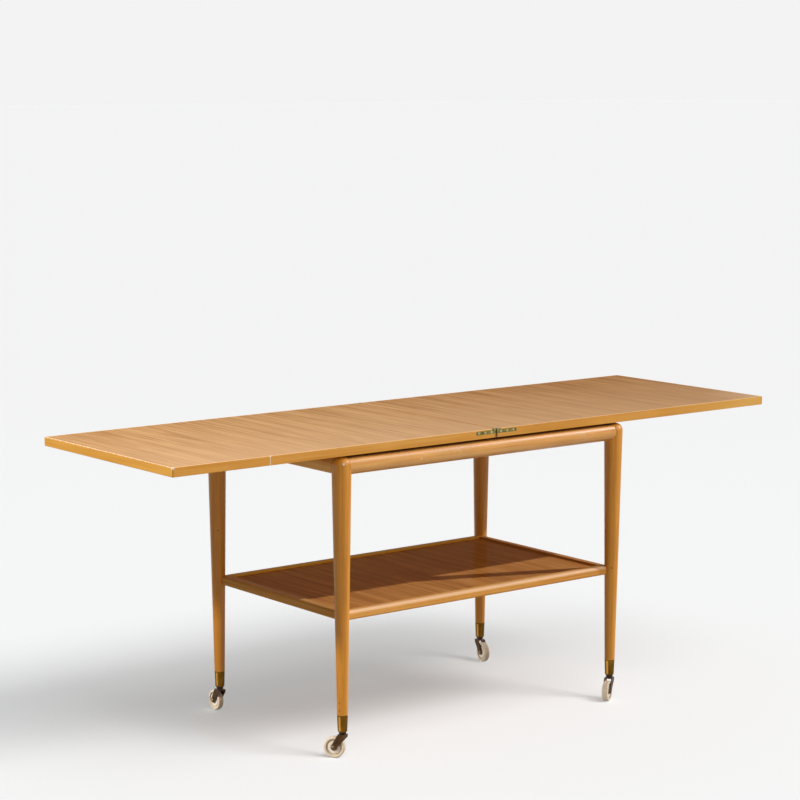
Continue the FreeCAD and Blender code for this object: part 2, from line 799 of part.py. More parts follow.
def axle_shape(name):
    """Riveted axle with a low domed head on each side, along its own Z."""
    half = fork_outer / 2 + s.glue_gap
    rim = s.axle_head * 0.45
    dome = s.axle_head_radius * 0.6
    return lathe(name, [
        (ZERO, -half - s.axle_head),
        (dome, -half - s.axle_head),
        (s.axle_head_radius, -half - rim),
        (s.axle_head_radius, -half),
        (s.axle_radius, -half),
        (s.axle_radius, half),
        (s.axle_head_radius, half),
        (s.axle_head_radius, half + rim),
        (dome, half + s.axle_head),
        (ZERO, half + s.axle_head),
    ])


def wheel_shape(name):
    """Moulded wheel: hub, disc, a groove inside the rim and a tread with rounded edges."""
    hub, web, groove, rim = (w / 2 for w in (s.hub_width, s.web_width, s.groove_width, s.wheel_width))
    bore = s.axle_radius + s.running_play
    tread = s.wheel_radius - s.tread_round
    return lathe(name, [
        (bore, -hub), (s.hub_radius, -hub), (s.hub_radius, -web), (s.disc_radius, -web),
        (s.disc_radius, -groove), (s.tyre_inner_radius, -groove), (s.tyre_inner_radius, -rim),
        (tread, -rim + s.tread_round, s.tread_round),
        (tread, rim - s.tread_round, s.tread_round),
        (s.tyre_inner_radius, rim), (s.tyre_inner_radius, groove), (s.disc_radius, groove),
        (s.disc_radius, web), (s.hub_radius, web), (s.hub_radius, hub), (bore, hub),
    ])


def make_caster(side, end):
    corner = "%s_%s" % (end, side)
    leg_x = s.frame_shift + half_span * SIDES[side]
    leg_y = half_reach * ENDS[end]
    turn = Size("Sizes.turn_" + corner, sheet.get("turn_" + corner))
    swivel = Rotation(Vector(0, 0, 1), turn.value)
    flat = Rotation(Vector(1, 0, 0), -90)
    axle_x = leg_x + s.trail * cosine(turn)
    axle_y = leg_y + s.trail * sine(turn)
    node(place(ferrule_shape("ferrule_" + corner), leg_x, leg_y), "ferrule_" + corner)
    node(place(stem_shape("caster_stem_" + corner), leg_x, leg_y), "caster_stem_" + corner)
    node(place(fork_shape("caster_fork_" + corner), leg_x, leg_y, turn=swivel), "caster_fork_" + corner)
    axle = axle_shape("caster_axle_" + corner)
    node(place(axle, axle_x, axle_y, s.wheel_radius, turn=swivel * flat), "caster_axle_" + corner)
    wheel = wheel_shape("caster_wheel_" + corner)
    node(place(wheel, axle_x, axle_y, s.wheel_radius, turn=swivel * flat), "caster_wheel_" + corner)


# ---------------------------------------------------------------- the whole trolley

QUARTER = Rotation(Vector(0, 0, 1), -90)
HALF = Rotation(Vector(0, 0, 1), 180)
THREE_QUARTERS = Rotation(Vector(0, 0, 1), 90)

for end in ENDS:
    for side in SIDES:
        make_leg(side, end)
        make_caster(side, end)

make_upper_rail("upper_rail_front", half_span, half_reach, Rotation())
make_upper_rail("upper_rail_back", half_span, half_reach, HALF)
make_upper_rail("upper_rail_left", half_reach, half_span, QUARTER)
make_upper_rail("upper_rail_right", half_reach, half_span, THREE_QUARTERS)
make_shelf_rail("shelf_rail_front", half_span, half_reach, s.shelf_tenon_low, Rotation())
make_shelf_rail("shelf_rail_back", half_span, half_reach, s.shelf_tenon_low, HALF)
make_shelf_rail("shelf_rail_left", half_reach, half_span, s.shelf_tenon_high, QUARTER)
make_shelf_rail("shelf_rail_right", half_reach, half_span, s.shelf_tenon_high, THREE_QUARTERS)
make_shelf_panel()
make_right_leaf()
make_left_leaf()
make_hinges()
make_guides()
make_runners()
doc.recompute()

# ---------------------------------------------------------------- check and export

failed = [item.Label for item in doc.Objects if "Invalid" in item.State or "Error" in item.State]
if failed:
    raise RuntimeError("objects that did not build: " + ", ".join(failed))
for item in nodes:
    if item.Shape.isNull() or not item.Shape.isValid() or not item.Shape.Solids:
        raise RuntimeError("no valid solid in " + item.Label)

os.makedirs("parts", exist_ok=True)
for item in nodes:
    item.Shape.exportStep("parts/%s.step" % item.Label)
print("%d sub-parts, slide travel %.2f mm" % (len(nodes), slide_travel.value))
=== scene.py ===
import json
import math

import bmesh
import bpy
from mathutils import Matrix, Vector

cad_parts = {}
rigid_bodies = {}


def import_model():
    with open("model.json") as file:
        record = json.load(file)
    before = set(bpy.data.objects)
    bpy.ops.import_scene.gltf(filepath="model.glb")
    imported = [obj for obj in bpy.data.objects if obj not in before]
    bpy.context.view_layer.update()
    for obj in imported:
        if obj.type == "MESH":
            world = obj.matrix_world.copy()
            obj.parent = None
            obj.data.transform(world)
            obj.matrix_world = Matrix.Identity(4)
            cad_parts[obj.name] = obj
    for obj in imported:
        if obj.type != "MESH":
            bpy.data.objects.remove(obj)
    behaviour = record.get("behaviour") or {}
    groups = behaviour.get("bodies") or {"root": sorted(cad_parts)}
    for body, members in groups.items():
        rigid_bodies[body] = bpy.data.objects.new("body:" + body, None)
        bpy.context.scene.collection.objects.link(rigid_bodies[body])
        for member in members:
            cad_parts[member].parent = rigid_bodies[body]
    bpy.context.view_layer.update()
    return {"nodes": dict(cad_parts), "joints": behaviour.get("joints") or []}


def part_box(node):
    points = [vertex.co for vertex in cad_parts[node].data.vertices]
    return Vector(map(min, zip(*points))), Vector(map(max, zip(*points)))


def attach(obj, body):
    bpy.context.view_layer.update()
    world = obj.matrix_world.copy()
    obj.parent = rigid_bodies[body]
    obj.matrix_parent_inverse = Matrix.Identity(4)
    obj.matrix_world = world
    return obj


# Looks of the tea trolley: stained wood, veneered boards, aged brass and cream plastic wheels.
# Lengths are in metres in the part's own frame: +X to the right leaf, +Y to the back, +Z up.

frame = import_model()

TABLE_TOP = 0.6045      # height of the leaves' upper face
LEAF_LENGTH = 0.750     # from the fold line to either free end
HALF_DEPTH = 0.226      # from the middle to either long edge
FRAME_MIDDLE = -0.019   # X of the point midway between the legs
CORNERS = ("front_left", "front_right", "back_left", "back_right")
LONG_SIDES = {"front": -1, "back": 1}
SIDES = {"left": -1, "right": 1}


def linear(red, green, blue):
    """An sRGB colour of 0 to 255 as the linear colour the shader takes."""
    return tuple(
        (c / 255 / 12.92 if c / 255 <= 0.04045 else ((c / 255 + 0.055) / 1.055) ** 2.4)
        for c in (red, green, blue)
    ) + (1.0,)


class Graph:
    """Short calls for the nodes of one material."""

    def __init__(self, name):
        self.material = bpy.data.materials.new(name)
        self.material.use_nodes = True
        self.tree = self.material.node_tree
        self.shader = self.tree.nodes["Principled BSDF"]
        self.place = self.add("ShaderNodeTexCoord").outputs["Object"]
        self.colour = None

    def add(self, kind, inputs=None, **settings):
        node = self.tree.nodes.new(kind)
        for key, value in settings.items():
            setattr(node, key, value)
        for key, value in (inputs or {}).items():
            self.feed(node.inputs[key], value)
        return node

    def feed(self, socket, value):
        if isinstance(value, bpy.types.NodeSocket):
            self.tree.links.new(value, socket)
        else:
            socket.default_value = value

    def set(self, **inputs):
        """Inputs of the Principled shader, with underscores for spaces."""
        for key, value in inputs.items():
            self.feed(self.shader.inputs[key.replace("_", " ")], value)

    def math(self, operation, a, b=0.0, clamp=False):
        node = self.add("ShaderNodeMath", {0: a, 1: b}, operation=operation)
        node.use_clamp = clamp
        return node.outputs[0]

    def times(self, value, *factors):
        for factor in factors:
            value = self.math("MULTIPLY", value, factor)
        return value

    def vector(self, operation, a, b=None):
        inputs = {0: a} if b is None else {0: a, 1: b}
        node = self.add("ShaderNodeVectorMath", inputs, operation=operation)
        as_number = operation in ("DISTANCE", "DOT_PRODUCT", "LENGTH")
        return node.outputs["Value" if as_number else "Vector"]

    def axis(self, letter):
        return self.add("ShaderNodeSeparateXYZ", {0: self.place}).outputs[letter]

    def noise(self, scale, detail=3.0, rough=0.5, distortion=0.0, shift=(0, 0, 0)):
        """Noise with its own scale, in cycles per metre, along each axis."""
        moved = self.vector("ADD", self.place, shift)
        node = self.add("ShaderNodeTexNoise", {
            "Vector": self.vector("MULTIPLY", moved, scale), "Scale": 1.0, "Detail": detail,
            "Roughness": rough, "Distortion": distortion})
        return node.outputs["Fac"]

    def span(self, value, low, high, to_low=0.0, to_high=1.0):
        """Map a range onto another, clamped."""
        node = self.add("ShaderNodeMapRange", {
            "Value": value, "From Min": low, "From Max": high,
            "To Min": to_low, "To Max": to_high})
        return node.outputs[0]

    def ramp(self, letter, low, high, to_low=0.0, to_high=1.0):
        """A range of places along one axis, mapped and clamped."""
        return self.span(self.axis(letter), low, high, to_low, to_high)

    def mix(self, factor, a, b, blend="MIX"):
        node = self.add("ShaderNodeMix", data_type="RGBA", blend_type=blend)
        self.feed(node.inputs[0], factor)
        self.feed(node.inputs[6], a)
        self.feed(node.inputs[7], b)
        return node.outputs[2]

    def shade(self, factor, colour):
        """A colour times a grey factor."""
        grey = self.add("ShaderNodeCombineColor", {0: factor, 1: factor, 2: factor}).outputs[0]
        return self.mix(1.0, colour, grey, "MULTIPLY")

    def near(self, centre, radius, soft=None):
        """1 inside a ball, 0 outside."""
        soft = radius * 0.4 if soft is None else soft
        away = self.vector("DISTANCE", self.place, centre)
        return self.span(away, radius + soft, radius - soft)

    def stroke(self, start, end, half_width):
        """1 within half_width of the line from start to end."""
        run = tuple(b - a for a, b in zip(start, end))
        length_squared = sum(c * c for c in run)
        offset = self.vector("SUBTRACT", self.place, start)
        along = self.math(
            "DIVIDE", self.vector("DOT_PRODUCT", offset, run), length_squared, clamp=True)
        nearest = self.add("ShaderNodeVectorMath", {0: run, "Scale": along}, operation="SCALE")
        away = self.vector("DISTANCE", offset, nearest.outputs[0])
        return self.span(away, half_width * 1.4, half_width * 0.6)

    def bump(self, height, strength, distance):
        node = self.add("ShaderNodeBump", {
            "Height": height, "Strength": strength, "Distance": distance})
        self.set(Normal=node.outputs[0])

    def edges(self, radius):
        """1 on sharp outer and inner edges, 0 on open faces."""
        rounded = self.add("ShaderNodeBevel", {"Radius": radius}, samples=6).outputs[0]
        flat = self.add("ShaderNodeNewGeometry").outputs["Normal"]
        return self.span(self.vector("DOT_PRODUCT", rounded, flat), 0.995, 0.86)

    def paint(self, mask, colour, blend="MIX"):
        """Lay a colour over what the material has so far."""
        self.colour = self.mix(mask, self.colour, colour, blend)
        self.set(Base_Color=self.colour)


CREASE_ANGLE = math.radians(32)
WELD_DISTANCE = 1e-6


def dress(node, g):
    """Give a CAD node its material, with round faces smooth and flat faces flat."""
    item = frame["nodes"][node]
    item.data.materials.clear()
    item.data.materials.append(g.material)
    for face in item.data.polygons:
        face.use_smooth = True
    item.modifiers.new("weld", "WELD").merge_threshold = WELD_DISTANCE
    item.modifiers.new("crease", "EDGE_SPLIT").split_angle = CREASE_ANGLE


# ---------------------------------------------------------------- wood

# Scales of the grain's noises in cycles per metre: across the grain, and along it.
BROAD = (30, 1.3)
BAND = (130, 2.6)
FIBRE = (620, 8.0)
PORE = (1500, 55.0)
BLOTCH = (9, 9, 9)
PORE_STRENGTH = 0.25


def stretched(along, scales):
    """Scales of a noise that is fine across the grain and long with it."""
    across, lengthwise = scales
    return tuple(lengthwise if letter == along else across for letter in "XYZ")


def grain(g, along, shift, weights):
    """Growth bands, streaks and fibres along one axis, as one value round 0.5, and the fibres."""
    broad = g.noise(stretched(along, BROAD), detail=3, rough=0.55, distortion=0.5, shift=shift)
    band = g.noise(stretched(along, BAND), detail=4, rough=0.62, distortion=0.6, shift=shift)
    fibre = g.noise(stretched(along, FIBRE), detail=2, rough=0.6, shift=shift)
    tone = g.times(broad, weights[0])
    tone = g.math("ADD", tone, g.times(band, weights[1]))
    return g.math("ADD", tone, g.times(fibre, weights[2])), fibre


def wood(name, along, colours, seed, weights=(0.35, 0.4, 0.25), rough=0.4, coat=0.08,
         coat_rough=0.3, blotches=0.05):
    """Stained wood with pores and a thin satin lacquer. The weights are the shares of growth
    bands, streaks and fibres in its grain."""
    dark, middle, light = colours
    g = Graph(name)
    shift = (seed, seed * 0.7, seed * 1.3)
    tone, fibre = grain(g, along, shift, weights)
    pore = g.noise(stretched(along, PORE), detail=1, rough=0.5, shift=shift)
    pores = g.span(pore, 0.60, 0.74, 0.0, PORE_STRENGTH)
    blotch = g.noise(BLOTCH, detail=3, rough=0.6, shift=shift)
    colour = g.mix(g.span(tone, 0.40, 0.5), dark, middle)
    colour = g.mix(g.span(tone, 0.5, 0.60), colour, light)
    colour = g.mix(pores, colour, dark)
    g.colour = g.shade(g.span(blotch, 0.3, 0.7, 1.0 - blotches, 1.0 + blotches), colour)
    g.set(Base_Color=g.colour, Roughness=g.span(fibre, 0.3, 0.7, rough - 0.05, rough + 0.06),
          Specular_IOR_Level=0.0, Coat_Weight=coat, Coat_Roughness=coat_rough)
    g.bump(g.math("SUBTRACT", g.times(fibre, 0.5), pores), 0.15, 0.0004)
    return g


# Dark, middle and light tone of each stain.
LEG = (linear(196, 120, 18), linear(211, 137, 30), linear(223, 151, 44))
RAIL = (linear(200, 130, 54), linear(220, 154, 76), linear(232, 172, 94))
# A lighter copy of the rail stain: painted light for the side rails in the shade of the leaves.
RAIL_PAINTED_LIGHTER = (linear(228, 156, 80), linear(242, 184, 106), linear(248, 200, 126))
LIP = (linear(210, 142, 62), linear(222, 156, 73), linear(230, 168, 86))
TOP = (linear(166, 117, 69), linear(194, 146, 95), linear(211, 165, 114))
SHELF = (linear(190, 124, 62), linear(212, 143, 75), linear(229, 162, 92))
SLIDE = (linear(150, 106, 60), linear(180, 134, 82), linear(196, 152, 100))

# Wear, drawn where the photo shows it. The dark colour is also painted shade under the leaves,
# and the rubbed colour is also a painted highlight along the lippings' upper arris.
PALE_CHIP = linear(244, 222, 196)
PALE_PATCH = linear(226, 176, 120)
RUBBED_AND_HIGHLIGHT = linear(226, 184, 140)
DARK_PIT_AND_SHADE = linear(78, 44, 18)

LEG_SEEDS = {"front_left": 1.7, "front_right": 2.9, "back_left": 4.3, "back_right": 5.9}
LEG_SPOTS = {
    "front_left": (((-0.3739, -0.2259, 0.5717), 0.0022, PALE_CHIP),
                   ((-0.3769, -0.2139, 0.1098), 0.0012, DARK_PIT_AND_SHADE),
                   ((-0.3765, -0.2140, 0.0951), 0.0012, DARK_PIT_AND_SHADE)),
    "back_left": (((-0.3749, 0.1969, 0.3806), 0.0013, DARK_PIT_AND_SHADE),),
}
LEG_NICKS = {
    "front_right": (((0.3176, -0.2215, 0.2875), (0.3204, -0.2215, 0.2815), 0.0011),),
}
for corner in CORNERS:
    g = wood("leg_wood_" + corner, "Z", LEG, LEG_SEEDS[corner], coat=1.0, coat_rough=0.42)
    for centre, radius, colour in LEG_SPOTS.get(corner, ()):
        g.paint(g.near(centre, radius), colour)
    for start, end, half_width in LEG_NICKS.get(corner, ()):
        g.paint(g.stroke(start, end, half_width), DARK_PIT_AND_SHADE)
    dress("leg_" + corner, g)

RAIL_FACE = -0.2272         # Y of the front upper rail's rounded nose
RAIL_CHIPS = (((-0.3701, RAIL_FACE, 0.5715), 0.0011), ((-0.1889, RAIL_FACE, 0.5644), 0.0013))
RAIL_PATCHES = (((-0.0935, RAIL_FACE, 0.5714), 0.012), ((0.2340, RAIL_FACE, 0.5654), 0.016))
MOTTLE = (160, 160, 160)

upper_front = wood(
    "upper_rail_wood_front", "X", RAIL, 3.1, coat=1.0, coat_rough=0.36, blotches=0.08)
for centre, radius in RAIL_CHIPS:
    upper_front.paint(upper_front.near(centre, radius), PALE_CHIP)
mottle = upper_front.span(upper_front.noise(MOTTLE, detail=3, rough=0.6), 0.45, 0.62)
for centre, radius in RAIL_PATCHES:
    patch = upper_front.near(centre, radius, soft=radius * 0.8)
    upper_front.paint(upper_front.times(patch, mottle, 0.6), PALE_PATCH)
# Painted shade: the upper side, in the gap under the leaves, is painted as dark as the photo shows
# it.
upper_front.paint(upper_front.times(upper_front.ramp("Z", 0.5798, 0.5822), 0.85), DARK_PIT_AND_SHADE)
upper_back = wood("upper_rail_wood_back", "X", RAIL, 3.9)
# The side rails under the leaves are painted lighter, as painted light.
upper_side = wood("upper_rail_wood_side", "Y", RAIL_PAINTED_LIGHTER, 4.4)

# Painted light on the long rails: the back one is painted golden on its inner side as if lit, the
# front one has a painted highlight along its upper arris, and both have painted shade along the
# lower edge.
PAINTED_LIGHT_GOLD = linear(255, 196, 76)
PAINTED_ARRIS_HIGHLIGHT = linear(254, 214, 176)
PAINTED_EDGE_SHADE = linear(176, 108, 44)
shelf_long = wood("shelf_rail_wood_long", "X", RAIL, 5.3, coat=0.12)
# Painted light: the back rail's inner side is painted golden, as if lit.
lit_inner_back = shelf_long.times(
    shelf_long.ramp("Y", 0.1, 0.11), shelf_long.ramp("Y", 0.2225, 0.2195), 0.9)
shelf_long.paint(lit_inner_back, PAINTED_LIGHT_GOLD)
# Painted highlight along the front rail's upper arris.
front_arris_highlight = shelf_long.times(
    shelf_long.ramp("Y", -0.2, -0.205), shelf_long.ramp("Z", 0.2780, 0.2830), 0.7)
shelf_long.paint(front_arris_highlight, PAINTED_ARRIS_HIGHLIGHT)
# Painted shade along the lower edge of both rails.
lower_edge_shade = shelf_long.times(shelf_long.ramp("Z", 0.2715, 0.2695), 0.35)
shelf_long.paint(lower_edge_shade, PAINTED_EDGE_SHADE)
shelf_short = wood("shelf_rail_wood_short", "Y", RAIL, 6.1, coat=0.12)

panel = wood(
    "shelf_veneer", "Y", SHELF, 8.2, weights=(0.2, 0.5, 0.3), coat=0.03, coat_rough=0.1)
slides = wood("slide_wood", "X", SLIDE, 9.4, rough=0.6, coat=0.0)

dress("upper_rail_front", upper_front)
dress("upper_rail_back", upper_back)
dress("shelf_panel", panel)
for side in SIDES:
    dress("upper_rail_" + side, upper_side)
    dress("shelf_rail_" + side, shelf_short)
for edge in LONG_SIDES:
    dress("shelf_rail_" + edge, shelf_long)
    dress("slide_guide_" + edge, slides)
    dress("slide_runner_" + edge, slides)


# ---------------------------------------------------------------- table top

PAINTED_SHADE_RIGHT = (0.90, 0.81, 0.72, 1.0)
PAINTED_SHEEN = linear(222, 180, 138)
END_GRAIN = (linear(206, 144, 60), linear(224, 164, 76))
PAINTED_LIGHT_RIGHT_END = linear(238, 184, 100)
LIP_WEIGHTS = (0.3, 0.4, 0.3)
ARRIS_HIGHLIGHT_NOISE = (260, 260, 260)
CHIPS = (240, 200, 240)


def board(side, seed):
    """Veneer of one leaf: streaks across the table, with painted shade browner to the right and a
    painted sheen paler to the front and towards the right front corner.
    """
    g = wood(side + "_leaf_veneer", "Y", TOP, seed, weights=(0.15, 0.5, 0.35), coat=0.06)
    # Painted shade, browner to the right.
    g.paint(g.ramp("X", -0.15, 0.40), PAINTED_SHADE_RIGHT, "MULTIPLY")
    # Painted sheen, paler to the front and at the right front corner.
    sheen_front = g.ramp("Y", 0.20, -HALF_DEPTH, 0.0, 0.5)
    sheen_corner = g.near((LEAF_LENGTH, -0.22, TABLE_TOP), 0.10, soft=0.09)
    g.paint(g.math("MAXIMUM", sheen_front, sheen_corner), PAINTED_SHEEN)
    return g


def lipping(side, seed):
    """Solid lipping: grain along each strip, painted lighter towards the right end, with a patchy
    painted highlight along the upper arrises.
    """
    g = wood(side + "_lipping_wood", "X", LIP, seed, weights=LIP_WEIGHTS, coat=0.06)
    from_fold = g.math("ABSOLUTE", g.axis("X"))
    at_end = g.span(from_fold, LEAF_LENGTH - 0.0032, LEAF_LENGTH - 0.0029)
    at_seam = g.span(from_fold, 0.0050, 0.0045)
    tone = g.span(grain(g, "Y", (seed, seed, seed), LIP_WEIGHTS)[0], 0.42, 0.58)
    # Painted light, lighter towards the right end.
    g.paint(g.ramp("X", 0.45, 0.70, 0.0, 0.8), PAINTED_LIGHT_RIGHT_END)
    g.paint(at_end, g.mix(tone, *END_GRAIN))
    g.paint(at_seam, g.mix(tone, TOP[0], TOP[1]))
    # Patchy painted highlight along the upper arris, apart from the seam.
    upper = g.ramp("Z", TABLE_TOP - 0.0010, TABLE_TOP - 0.0004)
    rubbed = g.span(g.noise(ARRIS_HIGHLIGHT_NOISE, detail=3, rough=0.6), 0.3, 0.6, 0.45, 0.85)
    g.paint(g.times(g.math("SUBTRACT", upper, at_seam, clamp=True), rubbed), RUBBED_AND_HIGHLIGHT)
    return g


left_board = board("left", 21.0)
right_board = board("right", 27.5)
scratch = right_board.stroke((0.0074, 0.1915, TABLE_TOP), (0.0179, 0.0629, TABLE_TOP), 0.0009)
right_board.paint(right_board.times(scratch, 0.6), RUBBED_AND_HIGHLIGHT)

left_lipping = lipping("left", 12.5)
right_lipping = lipping("right", 14.0)
FRONT_EDGE = -0.2262        # Y just proud of the lipping's front face
g = left_lipping
chipped = g.span(g.noise(CHIPS, detail=2, rough=0.6, shift=(3.0, 1.0, 2.0)), 0.50, 0.56)
left_arris = g.times(g.ramp("X", -0.7486, -0.7490), g.ramp("Z", 0.6029, 0.6034), chipped)
g.paint(left_arris, PALE_CHIP)
g.paint(g.near((-0.7490, -0.2250, 0.6040), 0.0035), PALE_CHIP)
mitre = g.stroke((-0.7492, FRONT_EDGE, 0.5870), (-0.7492, FRONT_EDGE, 0.6020), 0.0007)
g.paint(mitre, DARK_PIT_AND_SHADE)
front_joint = g.stroke((-0.5393, FRONT_EDGE, 0.5880), (-0.5396, FRONT_EDGE, 0.6035), 0.0007)
g.paint(front_joint, PALE_CHIP)
g.paint(g.near((-0.5394, -0.2255, 0.6040), 0.0016), PALE_CHIP)

dress("left_leaf_board", left_board)
dress("right_leaf_board", right_board)
dress("left_leaf_lipping", left_lipping)
dress("right_leaf_lipping", right_lipping)


# ---------------------------------------------------------------- metal and plastic

def metal(name, dark, bright, edge, rough, patina, brushed=260.0):
    """Aged metal: dark film broken by brighter rubbed places, lighter along its edges."""
    g = Graph(name)
    cloud = g.noise((patina, patina, patina), detail=5, rough=0.65)
    fine = g.noise((900, 900, brushed), detail=2, rough=0.5)
    worn = g.span(g.math("ADD", g.times(cloud, 0.75), g.times(fine, 0.25)), 0.4, 0.62)
    g.colour = g.mix(worn, dark, bright)
    g.paint(g.times(g.edges(0.0005), 0.8), edge)
    g.set(Metallic=1.0, Roughness=g.span(cloud, 0.3, 0.7, rough - 0.08, rough + 0.1))
    g.bump(fine, 0.12, 0.0002)
    return g


ferrule = metal("aged_brass", linear(94, 64, 18), linear(132, 92, 28), linear(176, 136, 66),
                rough=0.36, patina=26.0, brushed=30.0)
hinge = metal("hinge_brass", linear(92, 82, 36), linear(140, 126, 64), linear(176, 160, 96),
              rough=0.45, patina=140.0)
bronze = metal("bronze", linear(66, 46, 30), linear(94, 68, 46), linear(140, 108, 76),
               rough=0.45, patina=110.0)
collar = metal("blackened_steel", linear(34, 28, 24), linear(64, 54, 46), linear(112, 98, 84),
               rough=0.4, patina=110.0)
rivet = metal("rivet", linear(84, 66, 46), linear(130, 110, 84), linear(190, 172, 142),
              rough=0.35, patina=160.0)
steel = metal("screw_steel", linear(140, 130, 106), linear(198, 190, 168), linear(228, 220, 200),
              rough=0.35, patina=200.0)

# Ends of the painted highlight streak down the left of each ferrule, from the ferrule's middle.
STREAK_LOW = Vector((-0.0086, -0.0027, -0.012))
STREAK_HIGH = Vector((-0.0092, -0.0029, 0.012))
STREAK_HALF_WIDTH = 0.0022
GLINT_BRASS = linear(200, 144, 64)
for corner in CORNERS:
    low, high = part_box("ferrule_" + corner)
    middle = (low + high) / 2
    # Painted highlight on each ferrule.
    streak = ferrule.stroke(
        tuple(middle + STREAK_LOW), tuple(middle + STREAK_HIGH), STREAK_HALF_WIDTH)
    ferrule.paint(ferrule.times(streak, 0.85), GLINT_BRASS)

# Distances from the axle between which each part of a wheel's side face fades in.
HUB_FADE = (0.0078, 0.0062)
DISC_FADE = (0.0122, 0.0118)
GROOVE_INNER_FADE = (0.0122, 0.0130)
GROOVE_OUTER_FADE = (0.0160, 0.0150)
WHEEL_DIRT = (240, 240, 240)
RIM, DISC = linear(212, 196, 172), linear(234, 222, 204)
STAIN, DIRT_AND_SHADE = linear(190, 166, 138), linear(140, 102, 68)


def wheel_plastic(corner):
    """Cream plastic, dirty and with painted shade in the groove and round the hub, about the
    wheel's own axle.
    """
    low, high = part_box("caster_axle_" + corner)
    joint = next(j for j in frame["joints"] if j["name"] == "roll_" + corner)
    g = Graph("wheel_plastic_" + corner)
    offset = g.vector("SUBTRACT", g.place, tuple((low + high) / 2))
    aside = g.vector("DOT_PRODUCT", offset, tuple(joint["axis"]))
    reach = g.vector("LENGTH", offset)
    square = g.math("SUBTRACT", g.times(reach, reach), g.times(aside, aside))
    radius = g.math("SQRT", g.math("MAXIMUM", square, 0.0))
    cloud = g.noise(WHEEL_DIRT, detail=4, rough=0.6)
    # Painted shade and dirty colour in the groove and round the hub.
    groove = g.times(
        g.span(radius, *GROOVE_INNER_FADE), g.span(radius, *GROOVE_OUTER_FADE), 0.15)
    hub = g.times(g.span(radius, *HUB_FADE), 0.95)
    dirt_and_shade = g.times(g.math("MAXIMUM", groove, hub), g.span(cloud, 0.3, 0.62, 0.6, 1.0))
    colour = g.mix(g.span(radius, *DISC_FADE), RIM, DISC)
    colour = g.mix(g.span(cloud, 0.5, 0.75, 0.0, 0.5), colour, STAIN)
    colour = g.mix(dirt_and_shade, colour, DIRT_AND_SHADE)
    g.set(Base_Color=colour, Roughness=g.span(cloud, 0.3, 0.7, 0.28, 0.45), IOR=1.5,
          Specular_IOR_Level=0.25, Subsurface_Weight=0.35, Subsurface_Scale=0.006,
          Subsurface_Radius=(1.0, 0.7, 0.4))
    g.bump(cloud, 0.1, 0.0003)
    return g


for corner in CORNERS:
    dress("ferrule_" + corner, ferrule)
    dress("caster_stem_" + corner, collar)
    dress("caster_fork_" + corner, bronze)
    dress("caster_axle_" + corner, rivet)
    dress("caster_wheel_" + corner, wheel_plastic(corner))
for edge in LONG_SIDES:
    dress("hinge_link_" + edge, hinge)
    dress("hinge_pins_" + edge, steel)
    for side in SIDES:
        dress("hinge_plate_%s_%s" % (edge, side), hinge)


# ---------------------------------------------------------------- screws

SCREW_SIDES = 24


def add_screw(mesh, place, outward, size, slot_turn):
    """Slotted countersunk screw with its head flush at place and its shank behind it."""
    head, shank, length = size
    z = Vector(outward).normalized()
    x = Matrix.Rotation(slot_turn, 3, z) @ z.orthogonal().normalized()
    basis = Matrix((x, z.cross(x), z)).transposed().to_4x4()
    basis.translation = Vector(place)
    angles = [2 * math.pi * i / SCREW_SIDES for i in range(SCREW_SIDES)]
    rim = [(head * math.cos(angle), head * math.sin(angle)) for angle in angles]
    reach, half_width, depth = head * 0.86, head * 0.16, head * 0.28
    slot = [(-reach, -half_width), (reach, -half_width), (reach, half_width), (-reach, half_width)]

    def ring(points, height, scale=1.0):
        return [mesh.verts.new(basis @ Vector((a * scale, b * scale, height)))
                for a, b in points]

    levels = [
        ring(rim, 0.0, 0.96),                           # face of the head
        ring(rim, -head * 0.05),                        # rim, just under its broken edge
        ring(rim, shank - head, shank / head),          # foot of the countersink
        ring(rim, -length * 0.85, shank / head),        # end of the shank
        ring(rim, -length, shank / head * 0.25),        # point
    ]
    for upper, lower in zip(levels, levels[1:]):
        for i in range(SCREW_SIDES):
            j = (i + 1) % SCREW_SIDES
            mesh.faces.new((upper[i], lower[i], lower[j], upper[j]))
    mesh.faces.new(list(reversed(levels[-1])))
    mouth, bottom = ring(slot, 0.0), ring(slot, -depth)
    loops = []
    for points in (levels[0], mouth):
        for i in range(len(points)):
            pair = (points[i], points[(i + 1) % len(points)])
            loops.append(mesh.edges.get(pair) or mesh.edges.new(pair))
    bmesh.ops.triangle_fill(mesh, use_beauty=True, edges=loops, normal=z)
    for i in range(4):
        j = (i + 1) % 4
        mesh.faces.new((mouth[i], mouth[j], bottom[j], bottom[i]))
    mesh.faces.new(bottom)


def screws(name, body, places, size):
    """One piece of several screws, each with its slot turned its own way."""
    mesh = bmesh.new()
    for i, (place, outward) in enumerate(places):
        add_screw(mesh, place, outward, size, slot_turn=0.9 + 2.1 * i)
    bmesh.ops.recalc_face_normals(mesh, faces=mesh.faces)
    data = bpy.data.meshes.new(name)
    mesh.to_mesh(data)
    mesh.free()
    data.materials.append(steel.material)
    piece = bpy.data.objects.new(name, data)
    bpy.context.scene.collection.objects.link(piece)
    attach(piece, body)


# Each size is the head's radius, the shank's radius and the length.
HINGE_SCREW = (0.00255, 0.00135, 0.012)
GUIDE_SCREW = (0.00375, 0.00195, 0.022)
RUNNER_SCREW = (0.00375, 0.00195, 0.036)
FLUSH = 0.00005             # how far a head lies below the face round it
STRAP_HOLES_X = (0.0120, 0.02835, 0.0447)
STRAP_HOLES_Z = 0.59865
GUIDE_HOLES_X = (-0.29845, -0.09948, 0.09948, 0.29845)      # from the frame's middle
GUIDE_HOLES_Z = 0.5801
GUIDE_FACE = 0.18735        # Y of a guide's inner face, to either side
RUNNER_HOLES_X = (-0.32765, -0.1971, -0.0666)
RUNNER_HOLES_Y = 0.17605
RUNNER_FACE = 0.5619        # Z of a runner's lower face

